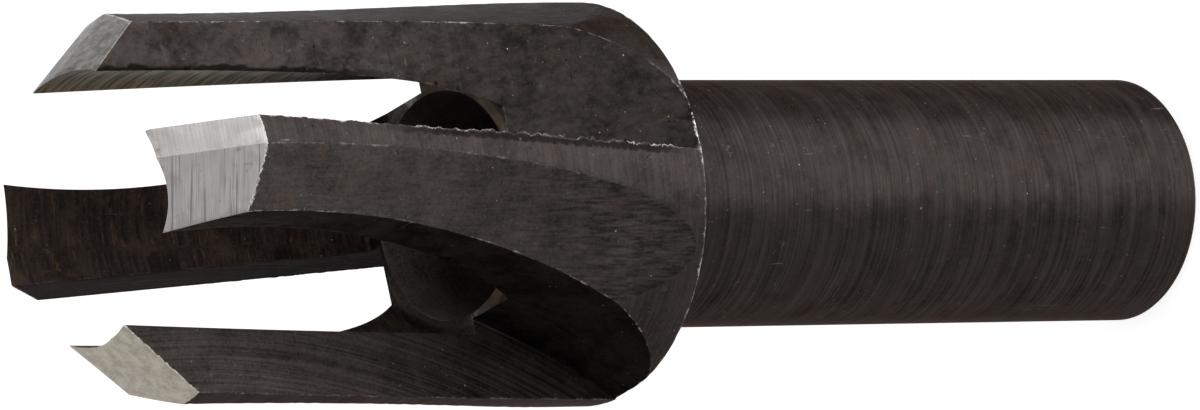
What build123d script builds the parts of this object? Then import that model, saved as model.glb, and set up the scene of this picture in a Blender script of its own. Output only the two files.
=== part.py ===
from build123d import *
import os
from math import cos, radians, sin, sqrt, tan

# Plug cutter turned and milled from one bar: a round shank and a hollow head cut into four fingers.
# Millimetres, +Z up. It stands on the flat end of its shank, tips up, with the origin in the middle of that end.
# The tool turns right-handed about +Z, so each finger leads with the side that lies anticlockwise of it.

# Shank
SHANK_DIAMETER = 12.7
SHANK_LENGTH = 36.2
END_FACE_DIAMETER = 10.8
END_ROUND_HEIGHT = 0.6

# Head, slightly wider at the back than at the tips
HEAD_LENGTH = 31.5
HEAD_BACK_DIAMETER = 20.6
HEAD_TIP_DIAMETER = 20.34
BACK_EDGE_CHAMFER = 0.12
NECK_FILLET = 0.5

# Bore that holds the plug, with a smaller blind hole drilled behind it
BORE_DIAMETER = 13.74
BORE_DEPTH = 22.8
HOLE_DIAMETER = 11.64
HOLE_DEPTH = 29.4
DRILL_POINT_ANGLE = 118

# Fingers, left between the flutes that a disc cutter has sunk into the head
LEADING_OFFSET = 1.93
LEADING_TILT = 4.2
TRAILING_OFFSET = 2.95
DISC_RADIUS = 52.0
DISC_WIDTH = 14.0
DISC_CENTRE_DEPTH = 5.0

# Relief behind the land on the outside of each finger
RELIEF_DIRECTION = -29.8
RELIEF_DEPTH_RADIUS = 9.11
RELIEF_CROSS_RADIUS = 42.0
RELIEF_RUNOUT_RADIUS = 305.0
RELIEF_STRAIGHT_LENGTH = 4.0
RELIEF_SWEEP = 50.0

# Ground bevel on each tip: two flats that meet in a ridge starting on the bore.
# The tips were ground one by one, so the angle from the axis differs from the first finger, on +X, to the last.
BEVEL_ANGLES = (37.5, 41.5, 41.0, 41.0)
LEADING_BEVEL_TURN = 2.6
TRAILING_BEVEL_TURN = -13.2
RIDGE_OFFSET = 0.41
RIDGE_SETBACK = 0.2

# How far each cutter reaches past the tool
CLEAR = 5.0

# Worked out from the sizes above
TOOL_LENGTH = SHANK_LENGTH + HEAD_LENGTH
BORE_RADIUS = BORE_DIAMETER / 2
HOLE_RADIUS = HOLE_DIAMETER / 2
SHANK_RADIUS = SHANK_DIAMETER / 2
HEAD_BACK_RADIUS = HEAD_BACK_DIAMETER / 2
FINGER_COUNT = len(BEVEL_ANGLES)
FINGER_PITCH = 360 / FINGER_COUNT


def turned_blank():
    """Half section of the shank and head, spun about the axis, with the bore and the drilled hole taken out."""
    end_radius = END_FACE_DIAMETER / 2
    end_drop = SHANK_RADIUS - end_radius
    end_round_radius = (END_ROUND_HEIGHT**2 + end_drop**2) / (2 * END_ROUND_HEIGHT)
    back = SHANK_LENGTH
    end_face = Line((0, 0), (end_radius, 0))
    end_round = RadiusArc((end_radius, 0), (SHANK_RADIUS, END_ROUND_HEIGHT), -end_round_radius)
    side = Line((SHANK_RADIUS, END_ROUND_HEIGHT), (SHANK_RADIUS, back - NECK_FILLET))
    neck = RadiusArc((SHANK_RADIUS, back - NECK_FILLET), (SHANK_RADIUS + NECK_FILLET, back), NECK_FILLET)
    head = Polyline(
        (SHANK_RADIUS + NECK_FILLET, back),
        (HEAD_BACK_RADIUS - BACK_EDGE_CHAMFER, back),
        (HEAD_BACK_RADIUS, back + BACK_EDGE_CHAMFER),
        (HEAD_TIP_DIAMETER / 2, TOOL_LENGTH),
        (BORE_RADIUS, TOOL_LENGTH),
        (BORE_RADIUS, TOOL_LENGTH - BORE_DEPTH),
        (HOLE_RADIUS, TOOL_LENGTH - BORE_DEPTH),
        (HOLE_RADIUS, TOOL_LENGTH - HOLE_DEPTH),
        (0, TOOL_LENGTH - HOLE_DEPTH - HOLE_RADIUS / tan(radians(DRILL_POINT_ANGLE / 2))),
        (0, 0),
    )
    outline = Plane.XZ * make_face([end_face, end_round, side, neck, head])
    return revolve(outline, Axis.Z)


def disc_cutter():
    """Disc whose side cuts the leading face of the finger on -Y and whose rim cuts the back of the finger on +X."""
    slope = tan(radians(LEADING_TILT))
    axis_x = (LEADING_OFFSET - slope * DISC_CENTRE_DEPTH) / (1 + slope**2)
    axis_depth = DISC_CENTRE_DEPTH + slope * axis_x
    centre = (axis_x, -(TRAILING_OFFSET + DISC_RADIUS), TOOL_LENGTH - axis_depth)
    side_of_disc = Plane(origin=centre, x_dir=(0, 1, 0), z_dir=(1, 0, -slope))
    return extrude(side_of_disc * Circle(DISC_RADIUS), DISC_WIDTH)


def relief_cutter():
    """Ring with a large inner radius that lowers the outside of the finger on +X behind its land."""
    ring_axis = RELIEF_DEPTH_RADIUS - RELIEF_CROSS_RADIUS
    outside = HEAD_BACK_RADIUS + CLEAR
    runout_length = HEAD_LENGTH - RELIEF_STRAIGHT_LENGTH + CLEAR
    runout_rise = RELIEF_RUNOUT_RADIUS - sqrt(RELIEF_RUNOUT_RADIUS**2 - runout_length**2)
    arc_start = (RELIEF_DEPTH_RADIUS, TOOL_LENGTH - RELIEF_STRAIGHT_LENGTH)
    arc_end = (RELIEF_DEPTH_RADIUS + runout_rise, TOOL_LENGTH - RELIEF_STRAIGHT_LENGTH - runout_length)
    runout = RadiusArc(arc_start, arc_end, -RELIEF_RUNOUT_RADIUS)
    rest = Polyline(
        arc_end,
        (outside, arc_end[1]),
        (outside, TOOL_LENGTH + CLEAR),
        (RELIEF_DEPTH_RADIUS, TOOL_LENGTH + CLEAR),
        arc_start,
    )
    section = Plane.XZ * make_face([runout, rest])
    turned_back = Rot(0, 0, -RELIEF_SWEEP / 2)
    ring = revolve(Pos(-ring_axis, 0, 0) * section, Axis.Z, RELIEF_SWEEP)
    return Rot(0, 0, RELIEF_DIRECTION) * Pos(ring_axis, 0, 0) * turned_back * ring


def bevel_cutter(angle, turn):
    """Block above one ground flat, which rises inwards to the ridge point on the bore."""
    ridge_point = (
        sqrt(BORE_RADIUS**2 - RIDGE_OFFSET**2),
        RIDGE_OFFSET,
        TOOL_LENGTH - RIDGE_SETBACK,
    )
    outwards = cos(radians(angle))
    upwards = sin(radians(angle))
    normal = (outwards * cos(radians(turn)), outwards * sin(radians(turn)), upwards)
    flat = Plane(origin=ridge_point, z_dir=normal)
    width = HEAD_BACK_DIAMETER
    return flat * Box(width, width, width, align=(Align.CENTER, Align.CENTER, Align.MIN))


def finger_sector():
    """Wedge round one finger, so that each bevel cuts only its own finger."""
    reach = 2 * HEAD_BACK_RADIUS
    half = radians(FINGER_PITCH / 2)
    corners = Polyline(
        (0, 0),
        (reach * cos(half), -reach * sin(half)),
        (reach * cos(half), reach * sin(half)),
        (0, 0),
    )
    wedge = extrude(make_face(corners), HEAD_LENGTH)
    return Pos(0, 0, SHANK_LENGTH + CLEAR) * wedge


def plug_cutter():
    """The blank with four flutes, four reliefs and four ground tips."""
    flute = disc_cutter()
    relief = relief_cutter()
    sector = finger_sector()
    tool = turned_blank()
    for number, angle in enumerate(BEVEL_ANGLES):
        turn = Rot(0, 0, number * FINGER_PITCH)
        bevels = bevel_cutter(angle, LEADING_BEVEL_TURN) + bevel_cutter(angle, TRAILING_BEVEL_TURN)
        tool -= turn * flute
        tool -= turn * relief
        tool -= turn * (bevels & sector)
    return tool


os.makedirs("parts", exist_ok=True)
tool = plug_cutter()
export_step(tool, "parts/plug_cutter.step")
print("volume", round(tool.volume, 1), "mm3, solids", len(tool.solids()), "box", tool.bounding_box())
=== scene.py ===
from functools import partial
from math import asin, atan2, cos, degrees, pi, radians, sin, sqrt, tan

import bpy
import numpy as np
from mathutils import Matrix, Vector, kdtree, noise
from mathutils.geometry import delaunay_2d_cdt


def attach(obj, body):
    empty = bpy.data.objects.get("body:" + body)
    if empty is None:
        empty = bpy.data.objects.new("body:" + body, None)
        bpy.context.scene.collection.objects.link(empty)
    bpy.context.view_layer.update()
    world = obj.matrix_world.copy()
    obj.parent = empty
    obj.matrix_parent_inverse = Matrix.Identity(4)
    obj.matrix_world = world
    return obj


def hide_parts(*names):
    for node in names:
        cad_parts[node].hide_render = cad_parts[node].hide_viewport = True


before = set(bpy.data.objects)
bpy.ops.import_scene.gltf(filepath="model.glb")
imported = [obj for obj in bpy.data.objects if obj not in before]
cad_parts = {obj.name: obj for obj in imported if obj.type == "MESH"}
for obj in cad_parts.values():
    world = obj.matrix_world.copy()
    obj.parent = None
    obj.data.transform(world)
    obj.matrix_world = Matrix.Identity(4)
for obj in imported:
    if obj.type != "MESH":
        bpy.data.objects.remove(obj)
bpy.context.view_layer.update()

# All shapes here are worked out in millimetres and turned into metres when a mesh is made.
MM = 0.001

# Sizes of the tool, the same as in the part's source
TOOL_LENGTH = 67.7
HEAD_BACK_Z = 36.2
CHAMFER = 0.12
HEAD_BACK_RADIUS = 10.3
HEAD_TIP_RADIUS = 10.17
SHANK_RADIUS = 6.35
NECK_FILLET = 0.5
END_FACE_RADIUS = 5.4
END_ROUND_HEIGHT = 0.6
BORE_RADIUS = 6.87
BORE_DEPTH = 22.8
HOLE_RADIUS = 5.82
HOLE_DEPTH = 29.4
DRILL_HALF_ANGLE = radians(59)
LEADING_OFFSET = 1.93
LEADING_SLOPE = tan(radians(4.2))
TRAILING_OFFSET = 2.95
DISC_RADIUS = 52.0
DISC_CENTRE_DEPTH = 5.0
RELIEF_DIRECTION = radians(-29.8)
RELIEF_DEPTH_RADIUS = 9.11
RELIEF_CROSS_RADIUS = 42.0
RELIEF_RUNOUT_RADIUS = 305.0
RELIEF_STRAIGHT_LENGTH = 4.0
BEVEL_ANGLES = (37.5, 41.5, 41.0, 41.0)
BEVEL_TURNS = (2.6, -13.2)
RIDGE_OFFSET = 0.41
RIDGE_SETBACK = 0.2

CHAMFER_Z = HEAD_BACK_Z + CHAMFER
STEP_Z = TOOL_LENGTH - BORE_DEPTH
HOLE_END_Z = TOOL_LENGTH - HOLE_DEPTH

# How closely the sums below are done
GRADIENT_STEP = 1e-4
SETTLE_ROUNDS = 6
TOLERANCE = 0.001
TINY = 1e-9
LEAST_LENGTH = 1e-12
BATCH = 2000


# The tool's surfaces: each function is zero on its surface
def turned_back(p, finger):
    """Points turned so that a finger's surfaces have the first finger's numbers."""
    c, s = ((1, 0), (0, 1), (-1, 0), (0, -1))[finger]
    return np.stack((c * p[:, 0] + s * p[:, 1], c * p[:, 1] - s * p[:, 0], p[:, 2]), 1)


def radius_of(p):
    return np.hypot(p[:, 0], p[:, 1])


def angle_of(p):
    return np.arctan2(p[:, 1], p[:, 0])


def outside(p):
    taper = (HEAD_BACK_RADIUS - HEAD_TIP_RADIUS) / (TOOL_LENGTH - CHAMFER_Z)
    return radius_of(p) - HEAD_TIP_RADIUS - taper * (TOOL_LENGTH - p[:, 2])


def bore(p):
    return radius_of(p) - BORE_RADIUS


def step(p):
    return p[:, 2] - STEP_Z


def chamfer(p):
    return (radius_of(p) - HEAD_BACK_RADIUS - p[:, 2] + CHAMFER_Z) * sqrt(0.5)


def back(p):
    return HEAD_BACK_Z - p[:, 2]


def tip(p):
    return p[:, 2] - TOOL_LENGTH


def disc_frame():
    """Centre and direction of the disc cutter that made the first finger's back."""
    axis_x = (LEADING_OFFSET - LEADING_SLOPE * DISC_CENTRE_DEPTH) / (1 + LEADING_SLOPE**2)
    depth = DISC_CENTRE_DEPTH + LEADING_SLOPE * axis_x
    centre = np.array((axis_x, -(TRAILING_OFFSET + DISC_RADIUS), TOOL_LENGTH - depth))
    along = np.array((1.0, 0.0, -LEADING_SLOPE))
    return centre, along / np.linalg.norm(along)


def leading(p, finger):
    """Plane beside the first finger that is the leading face of the finger before it."""
    centre, along = disc_frame()
    return (turned_back(p, finger) - centre) @ along


def trailing(p, finger):
    centre, along = disc_frame()
    away = turned_back(p, finger) - centre
    away = away - np.outer(away @ along, along)
    return np.linalg.norm(away, axis=1) - DISC_RADIUS


def relief(p, finger):
    q = turned_back(p, finger)
    c, s = cos(RELIEF_DIRECTION), sin(RELIEF_DIRECTION)
    x, y = c * q[:, 0] + s * q[:, 1], c * q[:, 1] - s * q[:, 0]
    reach = RELIEF_CROSS_RADIUS - RELIEF_DEPTH_RADIUS
    run = np.clip(TOOL_LENGTH - RELIEF_STRAIGHT_LENGTH - q[:, 2], 0, None)
    rise = RELIEF_RUNOUT_RADIUS - np.sqrt(RELIEF_RUNOUT_RADIUS**2 - run**2)
    return np.hypot(x + reach, y) - reach - RELIEF_DEPTH_RADIUS - rise


def ground(p, finger, turn):
    """Ground flat on a tip, above zero outside the steel."""
    angle, turn = radians(BEVEL_ANGLES[finger]), radians(turn)
    normal = np.array((cos(angle) * cos(turn), cos(angle) * sin(turn), sin(angle)))
    ridge = np.array((sqrt(BORE_RADIUS**2 - RIDGE_OFFSET**2), RIDGE_OFFSET, TOOL_LENGTH - RIDGE_SETBACK))
    return (turned_back(p, finger) - ridge) @ normal


FINGERS = range(4)
SURFACES = [(surface.__name__, 0, surface) for surface in (outside, bore, step, chamfer, back, tip)]
for k in FINGERS:
    SURFACES += [(surface.__name__, k, partial(surface, finger=k)) for surface in (relief, leading, trailing)]
    SURFACES += [("ground", k, partial(ground, finger=k, turn=turn)) for turn in BEVEL_TURNS]


def gradient(surface, p):
    """Direction in which a surface's function grows, at many points."""
    steps = np.eye(3) * GRADIENT_STEP
    return np.stack([(surface(p + d) - surface(p - d)) / (2 * GRADIENT_STEP) for d in steps], 1)


def settle(p, *surfaces):
    """Points moved onto one surface, or onto the line where two meet."""
    for _ in range(SETTLE_ROUNDS):
        f = np.stack([s(p) for s in surfaces], 1)
        g = np.stack([gradient(s, p) for s in surfaces], 1)
        gram = g @ g.transpose(0, 2, 1) + TINY * np.eye(len(surfaces))
        share = np.linalg.solve(gram, f[..., None])[..., 0]
        p = p - np.einsum("nm,nmi->ni", share, g)
    return p


def triangle_normals(corners):
    """Normal of each triangle, twice as long as its area."""
    return np.cross(corners[:, 1] - corners[:, 0], corners[:, 2] - corners[:, 0])


def unit(v):
    """The same directions with a length of one."""
    return v / (np.linalg.norm(v, axis=1)[:, None] + LEAST_LENGTH)


# The CAD mesh, sorted into the surfaces it is made of
TURNED, HOLE, UNSORTED = -1, -2, -9
FACING_WEIGHT = 0.05


def read_all(items, name, width=1, kind=float):
    """One property of all vertices, faces or corners, as an array."""
    values = np.empty(len(items) * width, kind)
    items.foreach_get(name, values)
    return values.reshape(-1, width) if width > 1 else values


def cad_mesh(obj):
    """The CAD model's points in millimetres, each only once, and its triangles."""
    mesh = obj.data
    mesh.calc_loop_triangles()
    points = read_all(mesh.vertices, "co", 3) / MM
    _, first, same = np.unique(np.round(points, 3), axis=0, return_index=True, return_inverse=True)
    t = same.ravel()[read_all(mesh.loop_triangles, "vertices", 3, int)]
    t = t[(t[:, 0] != t[:, 1]) & (t[:, 1] != t[:, 2]) & (t[:, 0] != t[:, 2])]
    return points[first], t


def sort_triangles(points, triangles):
    """Each triangle's surface, TURNED or HOLE, and how far it faces the way each function grows."""
    corners = points[triangles]
    normal = unit(triangle_normals(corners))
    middle = corners.mean(1)
    cost, sign = [], []
    for _, _, surface in SURFACES:
        off = np.abs(np.stack([surface(corners[:, i]) for i in range(3)])).max(0)
        facing = np.einsum("ni,ni->n", gradient(surface, middle), normal)
        cost.append(off + FACING_WEIGHT * (1 - np.abs(facing)))
        sign.append(facing)
    kind = np.array(cost).argmin(0)
    radius = np.hypot(corners[..., 0], corners[..., 1]).max(1)
    low, top = corners[..., 2].min(1), corners[..., 2].max(1)
    inner = (radius < HOLE_RADIUS + TOLERANCE) & (top < STEP_Z + TOLERANCE) & (low > END_ROUND_HEIGHT)
    outer = (radius < SHANK_RADIUS + NECK_FILLET + TOLERANCE) & (low < HEAD_BACK_Z - TOLERANCE)
    kind[inner] = HOLE
    kind[outer & ~inner] = TURNED
    return kind, np.array(sign)


def edge_key(a, b):
    """The same name for an edge from either end."""
    return min(a, b), max(a, b)


def find_regions(kind, triangles):
    """Number of each triangle's joined area of one surface, and the mesh's edges with their triangles."""
    edges = {}
    for t, (a, b, c) in enumerate(triangles):
        for pair in ((a, b), (b, c), (c, a)):
            edges.setdefault(edge_key(*pair), []).append(t)
    near = [[] for _ in triangles]
    for pair in edges.values():
        if len(pair) == 2 and kind[pair[0]] == kind[pair[1]]:
            near[pair[0]].append(pair[1])
            near[pair[1]].append(pair[0])
    region = np.where(kind < 0, kind, UNSORTED)
    surface_of = []
    for start in np.flatnonzero(kind >= 0):
        if region[start] != UNSORTED:
            continue
        region[start] = len(surface_of)
        surface_of.append(kind[start])
        todo = [start]
        while todo:
            for other in near[todo.pop()]:
                if region[other] == UNSORTED:
                    region[other] = region[start]
                    todo.append(other)
    return region, surface_of, edges


def find_lines(region, edges):
    """Lines between regions, each as (region, region, list of vertices), cut where three regions meet."""
    border, links = {}, {}
    for (a, b), pair in edges.items():
        sides = tuple(sorted(int(region[t]) for t in pair))
        if sides[0] != sides[1]:
            border[(a, b)] = sides
            links.setdefault(a, []).append(b)
            links.setdefault(b, []).append(a)
    lines, used = [], set()

    def follow(start, second):
        path = [start, second]
        used.add(edge_key(start, second))
        while len(links[path[-1]]) == 2 and path[-1] != start:
            after = [v for v in links[path[-1]] if v != path[-2]]
            if not after or edge_key(path[-1], after[0]) in used:
                break
            used.add(edge_key(path[-1], after[0]))
            path.append(after[0])
        return path

    corners = [v for v, to in links.items() if len(to) != 2]
    for start in corners + sorted(links):
        for second in links[start]:
            if edge_key(start, second) not in used:
                lines.append((*border[edge_key(start, second)], follow(start, second)))
    return lines


# New, even mesh: each region is cut into small triangles, with shared points along the lines
FINE = 0.28
LINE_FINE = 0.24
BURR_FINE = 0.1
SHORT_LINE = 0.25
# Circles where the plain round parts join the rest: radius, height and number of points
RIMS = {TURNED: (SHANK_RADIUS + NECK_FILLET, HEAD_BACK_Z, 180), HOLE: (HOLE_RADIUS, STEP_Z, 120)}
# Least distances: of a burr's rows from the lines, of the grid from the lines, and of the grid from the rows
ROW_GAP = 0.07
LINE_GAP = 0.6 * LINE_FINE
GRID_GAP = 0.16
# Rows of points beside a burr: the distance from its line, and whether it has each point or every other one
BURR_ROWS = ((0.1, 1), (0.21, 1), (0.34, 2))
# Radii at which round surfaces are rolled out flat, and how much the flat map is bent
MAP_RADIUS = {"outside": 10.25, "bore": BORE_RADIUS, "relief": 9.6}
BOW = (0.008, 0.005)


class Builder:
    """Points and faces of the new mesh, the surface each face lies on, and the two surfaces at each line."""

    def __init__(self):
        self.points, self.faces, self.zones = [], [], []
        self.sharp = {}

    def add(self, p):
        start = len(self.points)
        self.points.extend(np.asarray(p, float).reshape(-1, 3))
        return list(range(start, len(self.points)))

    def face(self, corners, flip, zone, finger=0):
        self.faces.append(tuple(int(i) for i in (corners[::-1] if flip else corners)))
        self.zones.append((zone, finger))


def resample(path_points, spacing):
    """Points evenly spaced along a line, without its ends."""
    gaps = np.linalg.norm(np.diff(path_points, axis=0), axis=1)
    along = np.concatenate(([0], np.cumsum(gaps)))
    count = max(1, int(round(along[-1] / spacing)))
    at = np.linspace(0, along[-1], count + 1)[1:-1]
    return np.stack([np.interp(at, along, path_points[:, i]) for i in range(3)], 1)


def circle(radius, z, count):
    a = np.arange(count) * 2 * pi / count
    return np.stack((radius * np.cos(a), radius * np.sin(a), np.full(count, z)), 1)


def tree_of(points):
    """For finding the nearest of these points."""
    tree = kdtree.KDTree(len(points))
    for n, p in enumerate(points):
        tree.insert(p, n)
    tree.balance()
    return tree


def inside(q, loops):
    """Even-odd test of many points against closed loops, all in one plane."""
    odd = np.zeros(len(q), bool)
    ax, ay = np.concatenate(loops).T
    bx, by = np.concatenate([np.roll(loop, -1, axis=0) for loop in loops]).T
    for start in range(0, len(q), BATCH):
        some = slice(start, start + BATCH)
        x, y = q[some, 0:1], q[some, 1:2]
        cross = (ay > y) != (by > y)
        with np.errstate(divide="ignore", invalid="ignore"):
            at = ax + (y - ay) / (by - ay) * (bx - ax)
        odd[some] = ((cross & (x < at)).sum(1) % 2).astype(bool)
    return odd


def chart(name, finger, about):
    """Two functions for a surface: from points to a flat map in millimetres, and back to near the surface."""
    if name in MAP_RADIUS:
        r = MAP_RADIUS[name]
        zero = atan2(about[1], about[0])

        def flat(p):
            a = np.angle(np.exp(1j * (angle_of(p) - zero)))
            return np.stack((a * r, p[:, 2]), 1)

        def lift(q):
            a = q[:, 0] / r + zero
            return np.stack((r * np.cos(a), r * np.sin(a), q[:, 1]), 1)
    elif name in ("step", "back", "chamfer", "ground", "tip"):
        def flat(p):
            return p[:, :2].copy()

        def lift(q):
            return np.stack((q[:, 0], q[:, 1], np.full(len(q), about[2])), 1)
    else:
        turn = radians(90) * finger
        c, s = cos(turn), sin(turn)
        side, other = np.array((c, s, 0)), np.array((-s, c, 0))
        if name == "leading":
            side, other = other, side

        def flat(p):
            return np.stack((p @ side, p[:, 2]), 1)

        def lift(q):
            return np.outer(q[:, 0], side) + np.outer(q[:, 1], (0, 0, 1)) + (about @ other) * other
    return flat, lift


def bowed(q):
    """Flat map bent a little, so that no edge in it is straight and has slivers along it."""
    return np.stack((q[:, 0] + BOW[0] * q[:, 1] ** 2, q[:, 1] - BOW[1] * q[:, 0] ** 2), 1)


def chain_loops(pieces):
    """Closed loops of point numbers made from lines laid end to end."""
    loops = [ids[:-1] for ids in pieces if ids[0] == ids[-1] and len(ids) > 3]
    left = {n for n, ids in enumerate(pieces) if ids[0] != ids[-1]}
    while left:
        loop = list(pieces[left.pop()])
        while loop[-1] != loop[0]:
            n = next(m for m in sorted(left) if loop[-1] in (pieces[m][0], pieces[m][-1]))
            left.remove(n)
            ids = pieces[n] if pieces[n][0] == loop[-1] else pieces[n][::-1]
            loop.extend(ids[1:])
        loops.append(loop[:-1])
    return loops


def burr_rows(made, line, surface):
    """Rows of points beside a line that carries a burr, so that the mesh is fine enough for it."""
    p = np.array([made.points[i] for i in line])
    side = unit(np.cross(np.gradient(p, axis=0), gradient(surface, p)))
    rows = [p[::every] + sign * away * side[::every] for away, every in BURR_ROWS for sign in (1, -1)]
    return settle(np.concatenate(rows), surface)


def even_grid(outline):
    """Corners of even triangles inside the outline, on the flat map."""
    on_map = np.concatenate(outline)
    low, high = on_map.min(0), on_map.max(0)
    rows = np.arange(low[1], high[1], FINE * sqrt(0.75))
    cols = np.arange(low[0], high[0] + FINE, FINE)
    grid = np.array([(x + (n % 2) * FINE / 2, y) for n, y in enumerate(rows) for x in cols])
    return grid[inside(grid, outline)] if len(grid) else grid


def inner_points(edge, outline, flat, lift, surface, rows):
    """Points inside a region: the rows beside its burr and an even grid over the rest."""
    near_edge = tree_of(edge)
    seeds = np.zeros((0, 3))
    if rows:
        rows = np.concatenate(rows)
        rows = rows[inside(flat(rows), outline)]
        seeds = np.array([p for p in rows if near_edge.find(p)[2] > ROW_GAP])
    grid = even_grid(outline)
    if len(grid):
        spread = [p for p in settle(lift(grid), surface) if near_edge.find(p)[2] > LINE_GAP]
        if len(seeds):
            near_row = tree_of(seeds)
            spread = [p for p in spread if near_row.find(p)[2] > GRID_GAP]
        seeds = np.concatenate((seeds, np.array(spread).reshape(-1, 3)))
    return seeds


def cut_triangles(spots, ids, cuts, outline):
    """Triangles between the points on the flat map that lie inside its outline, by the points' numbers."""
    links = [(i, i + 1 if i + 1 < b else a) for a, b in zip(cuts[:-1], cuts[1:]) for i in range(a, b)]
    found = delaunay_2d_cdt([Vector(p) for p in spots], links, [], 0, TINY, True)
    places, triangles, origin = found[0], found[2], found[3]
    names = [ids[o[0]] if len(o) else -1 for o in origin]
    triangles = np.array([t for t in triangles if len(t) == 3 and min(names[i] for i in t) >= 0])
    middle = np.array([tuple(v) for v in places])[triangles].mean(1)
    return np.array(names)[triangles[inside(middle, outline)]]


def fill_region(made, loops, name, finger, surface, facing, burr):
    """Small triangles over one region, between its boundary loops."""
    edge_ids = [i for loop in loops for i in loop]
    edge = np.array([made.points[i] for i in edge_ids])
    flat, lift = chart(name, finger, edge.mean(0))
    on_map = flat(edge)
    cuts = np.cumsum([0] + [len(loop) for loop in loops])
    outline = [on_map[a:b] for a, b in zip(cuts[:-1], cuts[1:])]
    rows = [burr_rows(made, line, surface) for line in burr]
    seeds = inner_points(edge, outline, flat, lift, surface, rows)
    ids = edge_ids + made.add(seeds)
    centre = on_map.mean(0)
    spots = bowed(np.concatenate((on_map, flat(seeds))) - centre)
    faces = cut_triangles(spots, ids, cuts, [bowed(line - centre) for line in outline])
    corners = np.array(made.points)[faces]
    grows = gradient(surface, corners.mean(1))
    right = np.einsum("ni,ni->n", triangle_normals(corners), grows) * facing > 0
    for face, ok in zip(faces, right):
        made.face(face, not ok, name, finger)


def spin(made, profile, rim, zone, flip, hub):
    """Rings of faces round the axis, from a ring of points that is already there to a point on the axis."""
    last, count = rim, len(rim)
    for r, z in profile:
        ring = made.add(circle(r, z, count))
        for i in range(count):
            j = (i + 1) % count
            made.face((last[i], last[j], ring[j], ring[i]), flip, zone)
        last = ring
    centre = made.add([(0, 0, hub)])[0]
    for i in range(count):
        made.face((last[i], last[(i + 1) % count], centre), flip, zone)


def stations(a, b, spacing):
    """Evenly spaced points from a to b, without a."""
    a, b = np.array(a, float), np.array(b, float)
    count = max(1, int(round(np.linalg.norm(b - a) / spacing)))
    return [tuple(a + (b - a) * i / count) for i in range(1, count + 1)]


def join_short_lines(lines, points, side):
    """Lines that stay, and which vertex takes the place of another. Short lines at the tips become points."""
    joined, stay = {}, []
    for a, b, path in lines:
        length = np.linalg.norm(np.diff(points[path], axis=0), axis=1).sum()
        if {side(a)[0], side(b)[0]} & {"ground", "tip"} and length < SHORT_LINE:
            u, v = root(path[0], joined), root(path[-1], joined)
            if u != v:
                joined[u] = v
        else:
            stay.append((a, b, path))
    return stay, joined


def root(v, joined):
    while v in joined:
        v = joined[v]
    return v


def even_mesh():
    points, triangles = cad_mesh(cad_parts["plug_cutter"])
    kind, sign = sort_triangles(points, triangles)
    region, surface_of, edges = find_regions(kind, triangles)
    made = Builder()

    def side(r):
        """Name, finger and function of a region's surface."""
        return SURFACES[surface_of[r]] if r >= 0 else ("turned", 0, None)

    lines, joined = join_short_lines(find_lines(region, edges), points, side)
    corner_ids = {}

    def corner(v):
        """Number of the new point at the end of a line."""
        v = root(v, joined)
        if v not in corner_ids:
            members = [w for w in set(joined) | {v} if root(w, joined) == v]
            corner_ids[v] = made.add(points[members].mean(0))[0]
        return corner_ids[v]

    lines_of, burrs_of, rims = {}, {}, {}
    for a, b, path in lines:
        sides = [side(a), side(b)]
        names = tuple(sorted(name for name, _, _ in sides))
        if path[0] == path[-1]:
            rims[a] = made.add(circle(*RIMS[a]))
            ids = rims[a] + rims[a][:1]
        else:
            burr = names == ("leading", "outside")
            between = resample(points[path], BURR_FINE if burr else LINE_FINE)
            if len(between):
                between = settle(between, *[surface for _, _, surface in sides if surface])
            ids = [corner(path[0])] + made.add(between) + [corner(path[-1])]
            if burr:
                for r in (a, b):
                    burrs_of.setdefault(r, []).append(ids)
        for r in (a, b):
            if r >= 0:
                lines_of.setdefault(r, []).append(ids)
        for i, j in zip(ids[:-1], ids[1:]):
            made.sharp[edge_key(i, j)] = names
    for r in sorted(lines_of):
        facing = 1 if sign[surface_of[r]][region == r].mean() > 0 else -1
        loops = [loop for loop in chain_loops(lines_of[r]) if len(loop) > 2]
        if loops:
            fill_region(made, loops, *side(r), facing, burrs_of.get(r, []))
    round_parts(made, rims)
    return made


def round_parts(made, rims):
    """Neck fillet, shank and its end, and the drilled hole with its point."""
    neck_z = HEAD_BACK_Z - NECK_FILLET
    neck = []
    for a in np.radians(np.arange(15, 91, 15)):
        neck.append((SHANK_RADIUS + NECK_FILLET * (1 - sin(a)), neck_z + NECK_FILLET * cos(a)))
    drop = SHANK_RADIUS - END_FACE_RADIUS
    bend = (END_ROUND_HEIGHT**2 + drop**2) / (2 * END_ROUND_HEIGHT)
    sweep = np.linspace(asin(drop / bend), 0, 8)[1:]
    end = [(END_FACE_RADIUS + bend * sin(a), bend - bend * cos(a)) for a in sweep]
    shank = stations((SHANK_RADIUS, neck_z), (SHANK_RADIUS, END_ROUND_HEIGHT), 0.4)
    face = stations((END_FACE_RADIUS, 0), (0.35, 0), 0.5)
    spin(made, neck + shank + end + face, rims[TURNED], "shank", True, 0.0)
    wall = stations((HOLE_RADIUS, STEP_Z), (HOLE_RADIUS, HOLE_END_Z), 0.35)
    point_z = HOLE_END_Z - HOLE_RADIUS / tan(DRILL_HALF_ANGLE)
    cone = stations((HOLE_RADIUS, HOLE_END_Z), (0.3, point_z + 0.3 / tan(DRILL_HALF_ANGLE)), 0.5)
    spin(made, wall + cone, rims[HOLE], "hole", False, point_z)


made = even_mesh()


# The tool as one object
ZONES = (
    "shank", "back", "chamfer", "outside", "relief", "leading", "trailing", "bore", "step", "hole",
    "ground", "ground_back", "tip",
)
# Zones that are cut finger by finger
CUT_ZONES = ("relief", "leading", "trailing", "ground", "ground_back")
BEVEL_WIDTH = 0.06


def pairs(*names):
    """Surfaces that meet at a line, two by two in the alphabet's order."""
    return {tuple(name.split()) for name in names}


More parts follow.
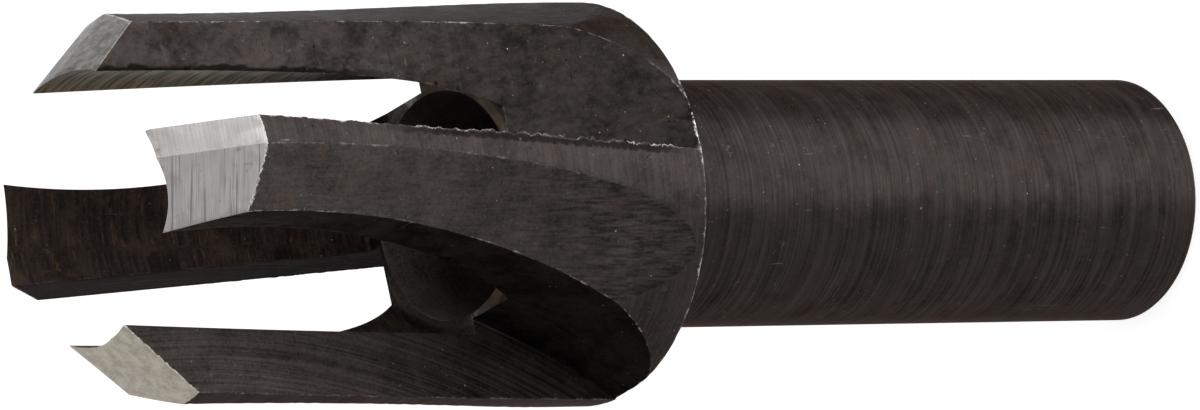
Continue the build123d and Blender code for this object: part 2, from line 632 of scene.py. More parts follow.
# Shares of that width on the edges between two surfaces
ROUNDING = {
    0.25: pairs("bore ground", "ground leading", "ground trailing"),
    0.35: pairs("ground outside", "ground relief"),
    0.4: pairs("leading step", "step trailing"),
    0.5: pairs("leading outside", "step turned", "chamfer trailing", "chamfer leading", "back chamfer"),
    0.6: pairs("bore leading", "bore trailing", "back trailing", "back leading", "chamfer outside",
               "chamfer relief"),
    0.9: pairs("outside trailing", "relief trailing"),
    1.2: pairs("leading trailing"),
}
SHARE_OF = {names: share for share, group in ROUNDING.items() for names in group}


def split_flats(made):
    """Zone of each face, with the ground flat behind the ridge under a name of its own."""
    zones = [z for z, _ in made.zones]
    for n, (zone, finger) in enumerate(made.zones):
        if zone == "ground":
            middle = np.mean([made.points[i] for i in made.faces[n]], axis=0)[None]
            off = [abs(ground(middle, finger, turn)[0]) for turn in BEVEL_TURNS]
            if off[1] < off[0]:
                zones[n] = "ground_back"
    return zones


def store(mesh, name, kind, domain, values):
    """Keeps a value or a vector for each point, edge, face or corner, for the materials and the bevel."""
    layer = mesh.attributes.new(name, kind, domain)
    values = np.asarray(values, np.int32 if kind == "INT" else np.float32)
    layer.data.foreach_set("vector" if kind == "FLOAT_VECTOR" else "value", values.ravel())


def add_object(name, data):
    obj = bpy.data.objects.new(name, data)
    bpy.context.scene.collection.objects.link(obj)
    return obj


def make_object(made):
    mesh = bpy.data.meshes.new("plug_cutter_body")
    mesh.from_pydata([tuple(p * MM) for p in made.points], [], made.faces)
    rounding = [SHARE_OF.get(made.sharp.get(tuple(sorted(e.vertices))), 0) for e in mesh.edges]
    store(mesh, "zone", "INT", "FACE", [ZONES.index(z) for z in split_flats(made)])
    store(mesh, "finger", "INT", "FACE", [f for _, f in made.zones])
    store(mesh, "bevel_weight_edge", "FLOAT", "EDGE", rounding)
    obj = add_object("plug_cutter_body", mesh)
    bevel = obj.modifiers.new("edges", "BEVEL")
    bevel.limit_method = "WEIGHT"
    bevel.width = BEVEL_WIDTH * MM
    bevel.segments = 2
    bevel.use_clamp_overlap = True
    graph = bpy.context.evaluated_depsgraph_get()
    done = bpy.data.meshes.new_from_object(obj.evaluated_get(graph))
    obj.modifiers.clear()
    obj.data = done
    return obj


# Lines that are worn bright or burred, by the surfaces that meet there
WORN = {
    "trail": pairs("outside trailing", "relief trailing"),
    "lead": pairs("leading outside"),
    "land": pairs("outside relief"),
    "rim": pairs("chamfer outside", "chamfer relief", "back chamfer", "back trailing"),
    "inner": pairs("bore leading", "bore trailing", "leading step", "step trailing", "step turned"),
    "tip": pairs("ground outside", "ground relief", "ground trailing", "ground leading"),
}
# Distances are measured no farther than this, to this many points along each edge of a line
FAR = 3.0
LINE_STEPS = 6
# Depth below a tip for a point that lies below none
FAR_BELOW = 40.0
# The burr: its height and width, how far it leans outwards and forwards, and its share by depth below the tip
BURR_HEIGHT = 0.3
BURR_WIDTH = 0.15
BURR_LEAN = (0.4, 0.9)
BURR_DEPTHS = (3, 8, 14, 20, 29, 31)
BURR_SHARES = (0.12, 0.2, 0.4, 1.0, 1.0, 0.4)
FAINT_BURR = 0.12
# Nicks in the other worn edges: their depths and width
NICKS = {"trail": 0.05, "land": 0.025, "rim": 0.035}
NICK_WIDTH = 0.12
# The raised burr stays inside the CAD model's box
BOX_HALF = 10.285


def line_tree(made, group):
    """Close-set points along the lines where these surfaces meet, for finding distances."""
    spots = []
    for (a, b), names in made.sharp.items():
        if names in group:
            p, q = made.points[a], made.points[b]
            spots += [p + (q - p) * share for share in np.linspace(0, 1, LINE_STEPS + 1)[:-1]]
    return tree_of(spots)


def lumps(points, size, seed):
    """Smooth random values from about -1 to 1 at many points."""
    shift = Vector((seed, seed * 2.3, 0))
    return np.array([noise.fractal(Vector(p / size) + shift, 0.7, 2.1, 3) for p in points])


def burr_height(p, distance):
    """Height of the ragged burr, by the distance from the leading edge. Only the first finger's is strong."""
    first = np.abs(angle_of(p) - 0.2) < 0.5
    strength = np.interp(TOOL_LENGTH - p[:, 2], BURR_DEPTHS, BURR_SHARES) * np.where(first, 1.0, FAINT_BURR)
    bead = np.clip(lumps(p, 0.42, 3.0) + 0.35, 0, None) + 0.45 * np.clip(lumps(p, 0.2, 8.0), 0, None)
    patch = np.clip(lumps(p, 2.2, 5.0) + 0.75, 0.1, 1.2)
    return BURR_HEIGHT * strength * bead * patch * np.exp(-((distance / BURR_WIDTH) ** 2))


def roughen(mesh, points, near):
    """Raises the ragged burr along the leading edges and nicks the other worn edges."""
    normals = read_all(mesh.vertices, "normal", 3)
    r = radius_of(points)
    moved = points.copy()
    close = np.flatnonzero((near["lead"] < 0.4) & (near["tip"] > 0.5) & (r > 9))
    x, y, level = points[close, 0] / r[close], points[close, 1] / r[close], 0 * close
    lean = BURR_LEAN[0] * np.stack((x, y, level), 1) + BURR_LEAN[1] * np.stack((-y, x, level), 1)
    moved[close] += lean * burr_height(points[close], near["lead"][close])[:, None]
    for line, depth in NICKS.items():
        close = np.flatnonzero((near[line] < 0.25) & (near["tip"] > 0.4) & (near["lead"] > 0.5))
        nick = np.clip(lumps(points[close], 0.5, 1.0 + depth * 40) + 0.1, 0, 1)
        nick = nick * np.exp(-((near[line][close] / NICK_WIDTH) ** 2))
        moved[close] -= normals[close] * (depth * nick)[:, None]
    moved[:, :2] = np.clip(moved[:, :2], -BOX_HALF, BOX_HALF)
    mesh.vertices.foreach_set("co", (moved * MM).ravel())
    mesh.update()


def add_measures(obj, made):
    """Distances from each point to the worn lines and below the ground flats, in millimetres."""
    mesh = obj.data
    points = read_all(mesh.vertices, "co", 3) / MM
    near = {}
    for name, group in WORN.items():
        tree = line_tree(made, group)
        near[name] = np.array([min(tree.find(p)[2], FAR) for p in points])
    roughen(mesh, points, near)
    below = np.full(len(points), FAR_BELOW)
    angle = np.degrees(angle_of(points))
    for k in FINGERS:
        mine = np.abs((angle - 90 * k + 180) % 360 - 180) < 45
        deep = -np.maximum(*(ground(points, k, turn) for turn in BEVEL_TURNS))
        below[mine] = deep[mine]
    for name, lines in (("worn", ("trail", "lead", "land")), ("edges", ("rim", "inner", "tip"))):
        store(mesh, name, "FLOAT_VECTOR", "POINT", np.stack([near[line] for line in lines], 1))
    store(mesh, "below_tip", "FLOAT", "POINT", below)
    add_marks(mesh, points)


# Radii that turn an angle into a length along or across the tool marks
MARK_RADIUS = {
    "shank": SHANK_RADIUS, "back": 8, "chamfer": 10, "outside": 10.2, "relief": 9.6, "bore": BORE_RADIUS,
    "step": 6, "hole": HOLE_RADIUS,
}
# Directions across the grinding marks, on the flat before the ridge and on the one behind it
GROUND_ACROSS = np.array((-0.66, 0.0, 0.75))
GROUND_BACK_ACROSS = np.array((-0.583, 0.192, 0.79))
# The third mark value is the finger's number times this, which gives each finger a pattern of its own
FINGER_SHIFT = 7.0


def add_marks(mesh, points):
    """For each face corner: place across the tool marks, place along them, and the finger's number."""
    totals = read_all(mesh.polygons, "loop_total", 1, int)
    zone = read_all(mesh.attributes["zone"].data, "value", 1, int)
    finger = read_all(mesh.attributes["finger"].data, "value", 1, int)
    p = points[read_all(mesh.loops, "vertex_index", 1, int)]
    middle = np.add.reduceat(p, np.concatenate(([0], np.cumsum(totals)[:-1])), axis=0) / totals[:, None]
    quarter = np.round(np.degrees(angle_of(middle)) / 90).astype(int) % 4
    cut = np.isin(zone, [ZONES.index(z) for z in CUT_ZONES])
    own = np.repeat(np.where(cut, finger, quarter), totals)
    q = np.zeros_like(p)
    for k in FINGERS:
        q[own == k] = turned_back(p[own == k], k)
    height = p[:, 2]
    r, a = radius_of(q), angle_of(q)
    whole = angle_of(p)
    arm = q - disc_frame()[0]
    spoke = np.hypot(arm[:, 1], arm[:, 2])
    swing = np.arctan2(arm[:, 2], arm[:, 1]) * DISC_RADIUS
    tip_marks = (q @ GROUND_ACROSS, q[:, 1])
    places = {
        "relief": (a * MARK_RADIUS["relief"], height),
        "step": (r, a * MARK_RADIUS["step"]),
        "back": (r, whole * MARK_RADIUS["back"]),
        "leading": (spoke, swing),
        "trailing": (q[:, 0], swing),
        "ground": tip_marks,
        "tip": tip_marks,
        "ground_back": (q @ GROUND_BACK_ACROSS, q[:, 1]),
    }
    for name in ("shank", "chamfer", "outside", "bore", "hole"):
        places[name] = (height, whole * MARK_RADIUS[name])
    marks = np.zeros((len(p), 3))
    of_corner = np.repeat(zone, totals)
    for n, name in enumerate(ZONES):
        pick = of_corner == n
        marks[pick, 0], marks[pick, 1] = places[name][0][pick], places[name][1][pick]
    marks[:, 2] = np.where(np.repeat(cut, totals), own * FINGER_SHIFT, 0)
    store(mesh, "marks", "FLOAT_VECTOR", "CORNER", marks)


body = make_object(made)
add_measures(body, made)
body.data.polygons.foreach_set("use_smooth", np.ones(len(body.data.polygons), bool))
normals = body.modifiers.new("normals", "WEIGHTED_NORMAL")
normals.mode = "FACE_AREA"
normals.weight = 50
normals.keep_sharp = False
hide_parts("plug_cutter")
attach(body, "root")


# Camera, worked out from the outlines in the photograph
VIEW_TILT = 0.66034
VIEW_ROLL = 0.00662
VIEW_TURN = 0.3096
TIP_IN_VIEW = Vector((-25.76267, -0.18088, 0))
VIEW_DISTANCE = 576.59214
PIXELS_TO_THE_MM = 20.27952
PHOTO_WIDTH = 1200
SENSOR_WIDTH = 36.0


def view_axes():
    """Camera's right, up and back directions in the tool's frame."""
    level = cos(VIEW_ROLL)
    down = Vector((cos(VIEW_TILT) * level, sin(VIEW_ROLL), -sin(VIEW_TILT) * level))
    e2 = (Vector((0, 1, 0)) - down * down.y).normalized()
    e1 = down.cross(e2)
    x_axis = cos(VIEW_TURN) * e1 + sin(VIEW_TURN) * e2
    y_axis = -sin(VIEW_TURN) * e1 + cos(VIEW_TURN) * e2
    return [Vector((x_axis[i], y_axis[i], -down[i])) for i in range(3)]


right, up, toward = view_axes()
camera_data = bpy.data.cameras.new("camera")
camera_data.sensor_width = SENSOR_WIDTH
camera_data.lens = SENSOR_WIDTH * PIXELS_TO_THE_MM * VIEW_DISTANCE / PHOTO_WIDTH
camera_data.clip_start, camera_data.clip_end = 0.01, 10
camera = add_object("camera", camera_data)
place = Vector((0, 0, TOOL_LENGTH))
place += (right * -TIP_IN_VIEW.x + up * -TIP_IN_VIEW.y + toward * VIEW_DISTANCE)
rotation = Matrix((right, up, toward)).transposed()
camera.matrix_world = Matrix.Translation(place * MM) @ rotation.to_4x4()
bpy.context.scene.camera = camera


# Light, floor and background, in metres
LAMP_TARGET = Vector((0, 0, 0.035))
CAMERA_AZIMUTH = degrees(atan2(toward.y, toward.x))
# Name, azimuth from the camera's, elevation, distance, width, height and level
LAMPS = (
    ("key", 36, 9, 0.55, 0.8, 0.22, 1.45),
    ("fill", 10, 60, 0.6, 0.4, 0.4, 0.2),
    ("back", 150, 55, 0.6, 0.5, 0.25, 0.5),
)
ROOM_LIGHT = 0.14
FLOOR_HALF = 3.0
FLOOR_GREY = 0.35
FLOOR_GLOW = 0.85
WHITE = (1, 1, 1)


def put(tree, value, socket):
    """Links an output to this input or gives the input a value. A colour's fourth part is one."""
    if isinstance(value, bpy.types.NodeSocket):
        tree.links.new(value, socket)
    elif socket.type == "RGBA" and len(value) == 3:
        socket.default_value = (*value, 1)
    else:
        socket.default_value = value


def node(tree, kind, *inputs, **values):
    """New shader node, with its first inputs in order and its settings and other inputs by name."""
    n = tree.nodes.new("ShaderNode" + kind)
    for key, value in values.items():
        if hasattr(n, key):
            setattr(n, key, value)
        else:
            put(tree, value, n.inputs[key])
    for number, value in enumerate(inputs):
        put(tree, value, n.inputs[number])
    return n


def softbox(name, azimuth, elevation, distance, width, height, level):
    """Area lamp aimed at the tool. At level 1 it shows a white surface that faces it as white."""
    data = bpy.data.lights.new(name, "AREA")
    data.shape = "RECTANGLE"
    data.size, data.size_y = width, height
    data.energy = level * (pi * distance) ** 2
    lamp = add_object(name, data)
    a, e = radians(azimuth), radians(elevation)
    away = Vector((cos(a) * cos(e), sin(a) * cos(e), sin(e)))
    lamp.location = LAMP_TARGET + away * distance
    lamp.rotation_mode = "QUATERNION"
    lamp.rotation_quaternion = away.to_track_quat("Z", "Y")


for name, turn, *rest in LAMPS:
    softbox(name, CAMERA_AZIMUTH + turn, *rest)


def finish_by_ray(tree, output, unseen, seen):
    """Joins one shader for the camera, reflected and transmitted rays, and another for the rest."""
    path = node(tree, "LightPath").outputs
    share = path["Is Camera Ray"]
    for ray in ("Is Glossy Ray", "Is Transmission Ray"):
        share = node(tree, "Math", share, path[ray], operation="MAXIMUM").outputs[0]
    node(tree, output, node(tree, "MixShader", share, unseen, seen).outputs[0])


world = bpy.data.worlds.new("world")
bpy.context.scene.world = world
world.use_nodes = True
tree = world.node_tree
tree.nodes.clear()
dim = node(tree, "Background", Color=WHITE, Strength=ROOM_LIGHT).outputs[0]
bright = node(tree, "Background", Color=WHITE, Strength=1.0).outputs[0]
finish_by_ray(tree, "OutputWorld", dim, bright)

floor_mesh = bpy.data.meshes.new("floor")
floor_corners = [(x * FLOOR_HALF, y * FLOOR_HALF, 0) for x, y in ((-1, -1), (1, -1), (1, 1), (-1, 1))]
floor_mesh.from_pydata(floor_corners, [], [(0, 1, 2, 3)])
floor = add_object("floor", floor_mesh)
floor_material = bpy.data.materials.new("floor")
floor_material.use_nodes = True
tree = floor_material.node_tree
tree.nodes.clear()
paint = node(tree, "BsdfDiffuse", Color=(FLOOR_GREY,) * 3).outputs[0]
glow = node(tree, "Emission", Color=WHITE, Strength=FLOOR_GLOW).outputs[0]
finish_by_ray(tree, "OutputMaterial", paint, node(tree, "AddShader", paint, glow).outputs[0])
floor_mesh.materials.append(floor_material)


# Materials: first their colours
BLACK = (0.0068, 0.0057, 0.0053)
GREY = (0.037, 0.0312, 0.0292)
BROWN = (0.031, 0.0205, 0.0145)
PIT = (0.003, 0.0025, 0.0022)
WORN_DARK = (0.16, 0.148, 0.138)
WORN_LIGHT = (0.52, 0.49, 0.46)
AMBER = (0.085, 0.04, 0.016)
TAN = (0.13, 0.092, 0.055)
WARM = (1.0, 0.89, 0.84)
# Paler patch on the bore's wall: partly rubbed steel, partly a painted sheen
RUBBED_SHEEN = ((0.085, 0.062, 0.038), (0.34, 0.27, 0.18))
TIP_STAIN = (0.10, 0.062, 0.035)
DULL_TIP = ((0.05, 0.047, 0.047), (0.205, 0.19, 0.183))
WARM_TIP = ((0.27, 0.24, 0.195), (0.43, 0.385, 0.32))

# Places in millimetres between which a look comes or goes
LAND_END_Z = (38.0, 47.0)
SECOND_FINGER_Y = (2.0, 5.0)
TRAIL_END_Z = (38.5, 43.5)
FIRST_FINGER_X = (6.5, 8.0)
HEAD_SPOTS_Z = (20.0, 34.0)
# Where the tan painted highlight on the step comes or goes
STEP_HIGHLIGHT_X = (-1.5, 4.5)
STEP_HIGHLIGHT_RADIUS = (5.95, 6.6)
# Where the painted shadow under the first finger's burr comes or goes
BURR_SHADOW_X = (7.0, 8.0)
BURR_SHADOW_FRONT_Z = (52.0, 57.0)
BURR_SHADOW_END_Z = (37.0, 39.0)
# Where the paler patch on the bore's wall, partly a painted sheen, comes or goes
RUBBED_SHEEN_X = (0.6, 2.4)
RUBBED_SHEEN_Y = (4.0, 4.6)
RUBBED_SHEEN_Z = (44.0, 60.0)
# Where the dark band along the second finger's inner edge, partly painted shade, comes or goes
LIP_SHADE_Y = (3.0, 4.0)
LIP_SHADE_Z = (48.0, 54.0)
TEETH_Z = (44.0, 52.0)

# Widths of the worn lines in millimetres: trail, lead, land, rim, inner and tip
WORN_WIDTHS = (0.13, 0.14, 0.13, 0.26, 0.07, 0.07)


class Graph:
    """Short ways to add shader nodes and join them, and the places and distances that the looks use."""

    def __init__(self, name):
        self.material = bpy.data.materials.new(name)
        self.material.use_nodes = True
        self.tree = self.material.node_tree
        self.shader = self.tree.nodes["Principled BSDF"]
        self.mm = self.scale(self.node("TexCoord")["Object"], 1 / MM)
        self.x, self.y, self.z = self.split(self.mm)
        self.marks = self.attribute("marks")
        self.across, _, self.finger = self.split(self.marks)
        self.trail, self.lead, self.land = self.split(self.attribute("worn"))
        self.rim, self.inner, self.tip = self.split(self.attribute("edges"))

    def node(self, kind, *inputs, **values):
        return node(self.tree, kind, *inputs, **values).outputs

    def set(self, name, value):
        put(self.tree, value, self.shader.inputs[name])

    def attribute(self, name, output="Vector"):
        return self.node("Attribute", attribute_name=name)[output]

    def math(self, operation, a, b=0.0, clamp=False):
        return self.node("Math", a, b, operation=operation, use_clamp=clamp)[0]

    def times(self, value, *others):
        for other in others:
            value = self.math("MULTIPLY", value, other)
        return value

    def plus(self, a, b):
        return self.math("ADD", a, b)

    def larger(self, a, b):
        return self.math("MAXIMUM", a, b)

    def split(self, vector):
        return self.node("SeparateXYZ", vector)

    def scale(self, vector, factor):
        return self.node("VectorMath", vector, operation="SCALE", Scale=factor)[0]

    def stretch(self, vector, scale, shift):
        return self.node("Mapping", Vector=vector, Scale=scale, Location=shift)[0]

    def moved(self, *shift):
        return self.stretch(self.mm, (1, 1, 1), shift)

    def along_marks(self, across, along, shift=(0, 0, 0)):
        return self.stretch(self.marks, (across, along, 1), shift)

    def noise(self, vector, scale=1.0, detail=3.0, rough=0.55, twist=0.0):
        values = {"Scale": scale, "Detail": detail, "Roughness": rough, "Distortion": twist}
        return self.node("TexNoise", Vector=vector, **values)["Fac"]

    def span(self, *values):
        """A value, eased from the range between the next two to that between the last two, or 0 to 1."""
        return self.node("MapRange", *values, clamp=True, interpolation_type="SMOOTHSTEP")[0]

    def mix(self, share, a, b, kind="FLOAT", first=2, output=0):
        n = node(self.tree, "Mix", share, data_type=kind)
        put(self.tree, a, n.inputs[first])
        put(self.tree, b, n.inputs[first + 1])
        return n.outputs[output]

    def blend(self, share, a, b):
        return self.mix(share, a, b, "RGBA", 6, 2)

    def cover(self, share, colour):
        self.colour = self.blend(share, self.colour, colour)

    def bump(self, height, distance):
        self.set("Normal", self.node("Bump", Height=height, Strength=1.0, Distance=distance)[0])


def worn_lines(g, wear):
    """How bare each spot is beside the worn edges, broken into dashes and dots."""
    trail, lead, land, rim, inner, tip = wear
    amounts = (
        g.span(g.y, *SECOND_FINGER_Y, trail, g.span(g.z, *TRAIL_END_Z, 0.2 * trail, trail)),
        g.span(g.x, *FIRST_FINGER_X, 0.35 * lead, lead),
        g.span(g.z, *LAND_END_Z, 0.1 * land, land),
        rim, inner, tip,
    )
    ragged = g.noise(g.mm, 2.6, 6.0, 0.78)
    dashes = g.span(g.noise(g.mm, 0.7, 4.0, 0.65), 0.45, 0.60, 0.05, 1.0)
    bare = g.times(g.span(g.rim, 0.02, 0.06, 0.3 * rim, 0.0), g.span(ragged, 0.42, 0.55))
    distances = (g.trail, g.lead, g.land, g.rim, g.inner, g.tip)
    for distance, width, amount in zip(distances, WORN_WIDTHS, amounts):
        reach = g.span(ragged, 0.4, 0.7, 0.0, width)
        close = g.span(distance, g.times(reach, 0.3), g.plus(reach, 0.015), 1.0, 0.0)
        bare = g.larger(bare, g.times(close, amount, dashes))
    return bare


def stained_step(g):
    """Tan painted highlight on the step, strongest near the hole's edge and mostly on the first finger's
    side.
    """
    stain = g.times(g.span(g.tint, 0.35, 0.65, 0.21, 0.7), g.span(g.x, *STEP_HIGHLIGHT_X))
    g.cover(g.times(stain, g.span(g.across, *STEP_HIGHLIGHT_RADIUS, 1.0, 0.1)), TAN)


def burr_root(g):
    """Painted shadow along the root of the first finger's burr."""
    reach = g.span(g.wide, 0.4, 0.6, 0.14, 0.34)
    root = g.times(g.span(g.lead, 0.04, 0.10), g.span(g.lead, reach, 0.42, 1.0, 0.0), g.span(g.x, *BURR_SHADOW_X))
    root = g.times(root, g.span(g.z, *BURR_SHADOW_FRONT_Z, 1.0, 0.15), g.span(g.z, *BURR_SHADOW_END_Z, 0.0, 0.7))
    g.cover(root, PIT)


def rusty_wall(g):
    """Rust on the bore's wall, and a paler streaked patch beside the second finger's leading edge that is
    partly rubbed steel and partly a painted sheen.
    """
    rust = g.noise(g.along_marks(3.0, 0.5, (9, 2, 4)), 1.0, 4.0, 0.7)
    g.cover(g.span(rust, 0.58, 0.70, 0.0, 0.7), AMBER)
    rubbed_sheen = g.times(g.span(g.y, *RUBBED_SHEEN_Y), g.span(g.x, *RUBBED_SHEEN_X, 1, 0), g.span(g.z, *RUBBED_SHEEN_Z, 0, 0.95))
    g.cover(rubbed_sheen, g.blend(g.span(g.plus(g.fine, g.wide), 0.85, 1.15), *RUBBED_SHEEN))


def rolled_lip(g):
    """Dark wavy band along the second finger's inner edge: partly a dark rolled lip, partly painted shade
    under the edge.
    """
    wave = g.span(g.noise(g.mm, 0.9, 1.0), 0.35, 0.65, 0.08, 0.28)
    lip = g.span(g.inner, wave, g.plus(wave, 0.2), 0.9, 0.0)
    g.cover(g.times(lip, g.span(g.y, *LIP_SHADE_Y), g.span(g.z, *LIP_SHADE_Z)), PIT)


def tooth_marks(g):
    """Short cutter marks across the end of the relief."""
    cut = g.times(g.span(g.land, 0.1, 1.0, 0.6, 0.0), g.span(g.z, *TEETH_Z, 1.0, 0.0))
    g.cover(g.times(cut, g.span(g.wide, 0.50, 0.58)), PIT)


def short_cracks(g):
    """Short dark cracks in a few patches."""
    wander = g.noise(g.along_marks(0.4, 1.5, (7, 1, 3)), 1.0, 4.0, 0.6)
    crack = g.span(g.math("ABSOLUTE", g.plus(wander, -0.5)), 0.002, 0.012, 0.6, 0.0)
    g.cover(g.times(crack, g.span(g.mottle, 0.55, 0.62)), PIT)


def bare_spots(g, wear, bare_at):
    """Where bare steel shows: the worn edges, specks, scratches and a strip of this width under the tip."""
    speck = g.span(g.noise(g.moved(31, 17, 23), 4.5, 3.0, 0.65), 0.70, 0.75, 0.0, 0.6)
    scratch = g.noise(g.along_marks(0.4, 7.0, (2, 4, 6)), 1.0, 1.0, 0.5, 0.5)
    bare = g.larger(worn_lines(g, wear), g.larger(speck, g.span(scratch, 0.77, 0.81, 0.0, 0.22)))
    if bare_at:
        strip = g.plus(g.span(g.noise(g.mm, 3.4, 4.0, 0.65), 0.36, 0.72, 0.0, bare_at), 0.02)
        bare = g.larger(bare, g.math("LESS_THAN", g.attribute("below_tip", "Fac"), strip))
    return bare


def oxide(name, streak=(9.0, 0.25), depth=0.5, rear=None, tone=1.0, hue=(1, 1, 1), cloud=0.3, speckle=0.25,
          brown=0.3, spots=0.3, extras=(), rear_shade=None, first=1.0, pits=(2.3, 2.3), pit_share=0.85,
          wear=(0.45, 0.7, 0.25, 1.0, 0.1, 0.5), bare_at=0.0, steel=0.5, rough=0.45, gloss=0.2, edge=0.5,
          anisotropy=0.0, relief=18, dents=0.0):
    """Black oxide over cut steel: streaks along the tool marks, mottling, stains, pits and worn edges.

    streak and pits are per millimetre across and along the marks, rear changes the marks' depth along the
    tool, rear_shade is painted shade that scales the tone along the tool, darker towards the rear of the
    head, first is painted shade that darkens the first finger further, and relief is in thousandths of a
    millimetre.
    """
    g = Graph(name)
    g.fine = g.noise(g.along_marks(*streak), 1.0, 4.0, 0.6)
    g.wide = g.noise(g.along_marks(streak[0] * 0.4, streak[1] * 0.7, (3, 5, 1)), 1.0, 3.0, 0.6)
    g.mottle = g.noise(g.mm, 0.45, 6.0, 0.7)
    g.tint = g.noise(g.moved(2, 4, 1), 0.6, 5.0, 0.65)
    grain = g.noise(g.mm, 6.0, 5.0, 0.75)
    if rear:
        depth = g.span(g.z, *rear)
    fine_line = g.plus(g.span(g.fine, 0.36, 0.64), -0.5)
    wide_line = g.plus(g.span(g.wide, 0.36, 0.64), -0.5)

    # From black to grey
    clouds = g.span(g.mottle, 0.34, 0.66, 0.3 - cloud / 2, 0.3 + cloud / 2)
    share = g.plus(g.plus(clouds, g.span(grain, 0.32, 0.68, -speckle, speckle)), g.times(fine_line, depth))
    share = g.math("ADD", share, g.times(wide_line, depth, 0.5), clamp=True)
    g.colour = g.blend(share, *(tuple(c * tone * h for c, h in zip(end, hue)) for end in (BLACK, GREY)))

    # Stains, spots and what only this kind of surface has, with painted shade and highlights among them
    g.cover(g.span(g.tint, 0.50, 0.68, 0.0, brown), tuple(c * tone for c in BROWN))
    spot = g.span(g.noise(g.moved(14, 3, 9), 1.5, 5.0, 0.75), 0.62, 0.70)
    g.cover(g.times(spot, g.span(g.z, *HEAD_SPOTS_Z, spots * 0.3, spots)), TAN)
    for extra in extras:
        extra(g)
    # Painted shade: darker towards the rear of the head, deep in the flutes, and darker still on the first
    # finger when first is below 1
    if rear_shade:
        not_first = g.math("MULTIPLY", g.finger, 1.0, clamp=True)
        g.colour = g.scale(g.colour, g.times(g.span(g.z, *rear_shade), g.mix(not_first, first, 1.0)))

    # Pits and bare steel
    pit = g.span(g.noise(g.along_marks(*pits, (5, 8, 2)), 1.0, 7.0, 0.8), 0.625, 0.66)
    g.cover(g.times(pit, pit_share), PIT)
    bare = bare_spots(g, wear, bare_at)
    g.cover(bare, g.blend(g.span(grain, 0.35, 0.65), WORN_DARK, WORN_LIGHT))
    g.set("Base Color", g.colour)

    # Shine
    g.set("Metallic", g.mix(bare, steel, 0.8))
    roughness = g.plus(g.span(g.mottle, 0.35, 0.65, rough - 0.06, rough + 0.07), g.times(fine_line, -0.08))
    g.set("Roughness", g.mix(bare, roughness, 0.42))
    g.set("Specular IOR Level", gloss)
    g.set("Specular Tint", tuple(c * edge for c in WARM))
    if anisotropy:
        g.set("Anisotropic", anisotropy)
        g.set("Anisotropic Rotation", 0.25)
        g.set("Tangent", g.node("Tangent", direction_type="RADIAL", axis="Z")[0])

    # Height of the marks, grain, pits and dents
    height = g.times(g.plus(g.fine, g.times(g.wide, 1.2)), depth)
    height = g.plus(height, g.times(grain, 2.2 * speckle))
    height = g.plus(height, g.times(pit, -1.2))
    if dents:
        dent = g.noise(g.stretch(g.mm, (1, 1, 0.7), (8, 2, 5)), 0.9, 1.5, 0.5, 0.6)
        height = g.plus(height, g.span(dent, 0.48, 0.74, 0.0, -dents))
    g.bump(height, relief * 1e-6)
    return g.material


def ground_steel(name, light, dark, line, line_share, fine_scale):
    """Bare steel, scratched across by the grinding wheel, with a few stains.

    The second finger's tip is duller, with a bright edge, and the fourth finger's is warmer in colour.
    """
    g = Graph(name)
    fine = g.noise(g.along_marks(fine_scale, 0.3), 1.0, 5.0, 0.7)
    coarse = g.noise(g.along_marks(fine_scale * 0.45, 0.12, (4, 1, 2)), 1.0, 4.0, 0.65)
    cloud = g.noise(g.mm, 0.9, 5.0, 0.65)
    grain = g.noise(g.mm, 9.0, 3.0, 0.6)
    stain = g.noise(g.moved(3, 6, 1), 1.6, 4.0, 0.7)
    blotch = g.noise(g.mm, 1.5, 7.0, 0.78)
    g.colour = g.blend(g.span(fine, 0.36, 0.64), dark, light)
    g.cover(g.span(coarse, 0.55, 0.63, 0.0, line_share), line)
    g.cover(g.span(cloud, 0.52, 0.72, 0.0, 0.35), tuple(c * 0.72 for c in dark))
    g.cover(g.span(stain, 0.60, 0.70, 0.0, 0.45), TIP_STAIN)
    number = g.math("DIVIDE", g.finger, FINGER_SHIFT)
    second = g.math("SUBTRACT", 1.0, g.math("ABSOLUTE", g.plus(number, -1.0)), clamp=True)
    fourth = g.math("SUBTRACT", number, 2.0, clamp=True)
    g.cover(g.times(second, 0.9), g.blend(g.span(blotch, 0.38, 0.62), *DULL_TIP))
    g.cover(g.times(fourth, 0.85), g.blend(g.span(blotch, 0.36, 0.62), *WARM_TIP))
    lip = g.span(g.tip, 0.03, g.span(cloud, 0.4, 0.7, 0.06, 0.14), 0.9, 0.0)
    lip = g.times(lip, g.span(blotch, 0.42, 0.54, 0.3, 1.0), second)
    g.cover(lip, WORN_LIGHT)
    g.set("Base Color", g.colour)
    g.set("Metallic", 1.0)
    g.set("Roughness", g.span(cloud, 0.3, 0.7, 0.36, 0.48))
    g.bump(g.plus(g.times(fine, 0.5), g.plus(g.times(grain, 0.2), g.times(coarse, -0.8))), 8e-6)
    return g.material


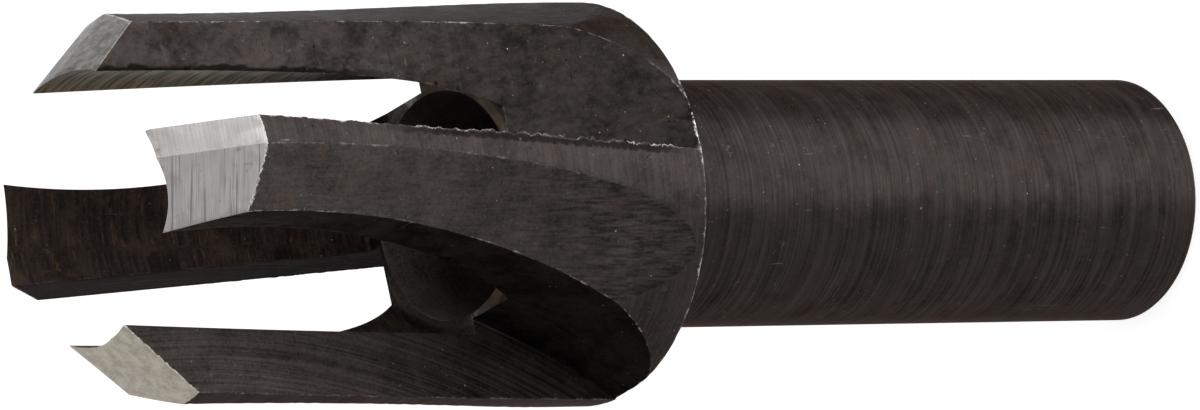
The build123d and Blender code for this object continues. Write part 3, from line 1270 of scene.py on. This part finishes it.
LOOKS = {
    "shank": oxide(
        "turned_shank", streak=(6.5, 0.10), depth=0.2, tone=2.1, anisotropy=0.95, brown=0.2, rough=0.5,
        relief=7, cloud=0.28, pit_share=0.4, steel=1.0, speckle=0.06, spots=0.8,
    ),
    "back": oxide("turned_back", streak=(6.0, 0.12), depth=0.3, tone=2.0, steel=1.0),
    "outside": oxide(
        "turned_land", streak=(7.0, 0.3), depth=0.1, tone=2.4, anisotropy=0.95, bare_at=0.03, rough=0.5,
        relief=8, cloud=0.32, steel=1.0, speckle=0.08, brown=0.1, wear=(0.45, 0.8, 0.2, 1.0, 0.1, 0.5),
        # The outside's extra is a painted shadow under the first finger's burr
        extras=(burr_root,),
    ),
    "relief": oxide(
        "milled_relief", streak=(6.5, 0.6), tone=2.3, bare_at=0.1, relief=26, cloud=0.2, pits=(1.3, 3.2),
        steel=0.7, edge=0.2, speckle=0.14, rear_shade=(39.0, 62.0, 0.76, 1.18), rear=(40.0, 50.0, 0.4, 0.12),
        wear=(0.45, 0.7, 0.2, 1.0, 0.1, 0.5), extras=(tooth_marks,),
    ),
    "leading": oxide(
        "milled_leading_face", streak=(7.5, 0.06), rear=(40.0, 54.0, 0.6, 0.28), tone=2.0, gloss=0.06,
        rough=0.6, rear_shade=(42.0, 62.0, 0.4, 1.3), relief=20, cloud=0.2, steel=0.8, bare_at=0.09, edge=0.15,
        speckle=0.14, wear=(0.45, 0.5, 0.25, 1.0, 0.1, 0.5),
    ),
    # The trailing flanks' tone along the tool and the first finger's darker tone are painted shade
    "trailing": oxide(
        "milled_trailing_flank", streak=(2.5, 1.5), depth=0.08, tone=1.72, gloss=0.05, rough=0.6,
        rear_shade=(39.0, 65.0, 0.55, 1.45), first=0.4, brown=0.25, relief=30, cloud=0.55, pits=(1.2, 1.8),
        # Its extras: a dark band along the second finger's inner edge, partly painted shade, and short cracks
        steel=0.85, speckle=0.09, dents=1.6, extras=(rolled_lip, short_cracks),
    ),
    "bore": oxide(
        "bored_wall", streak=(4.5, 0.25), tone=0.95, brown=1.0, gloss=0.08, relief=20, steel=0.0, edge=0.8,
        # The bore's extras are rust and a paler patch, partly rubbed steel and partly a painted sheen
        hue=(1.0, 0.8, 0.68), extras=(rusty_wall,),
    ),
    "hole": oxide(
        "drilled_hole", streak=(5.0, 0.3), depth=0.12, tone=3.4, brown=0.5, gloss=0.15, relief=10, cloud=0.2,
        wear=(0, 0, 0, 0, 0.1, 0), steel=0.3, pit_share=0.5,
    ),
    "step": oxide(
        "bored_step", streak=(3.0, 0.2), depth=0.4, tone=0.9, brown=0.5, gloss=0.05,
        # The step's extra is a tan painted highlight
        wear=(0, 0, 0, 0, 0.15, 0), extras=(stained_step,),
    ),
    "ground": ground_steel(
        "ground_tip", light=(0.29, 0.277, 0.27), dark=(0.23, 0.22, 0.213), line=(0.16, 0.15, 0.143),
        line_share=0.25, fine_scale=13.0,
    ),
    # The flat behind the ridge: its darker tone is painted shade, and its denser dark lines are grinding
    # marks
    "ground_back": ground_steel(
        "ground_tip_back", light=(0.20, 0.191, 0.188), dark=(0.145, 0.138, 0.135), line=(0.07, 0.065, 0.062),
        line_share=0.75, fine_scale=12.0,
    ),
}
SHARED_LOOK = {"chamfer": "outside", "tip": "ground"}
body.data.materials.clear()
for material in LOOKS.values():
    body.data.materials.append(material)
slot_of = np.array([list(LOOKS).index(SHARED_LOOK.get(z, z)) for z in ZONES])
zones = read_all(body.data.attributes["zone"].data, "value", 1, int)
body.data.polygons.foreach_set("material_index", slot_of[zones])
body.data.update()

bpy.context.scene.view_settings.view_transform = "Standard"
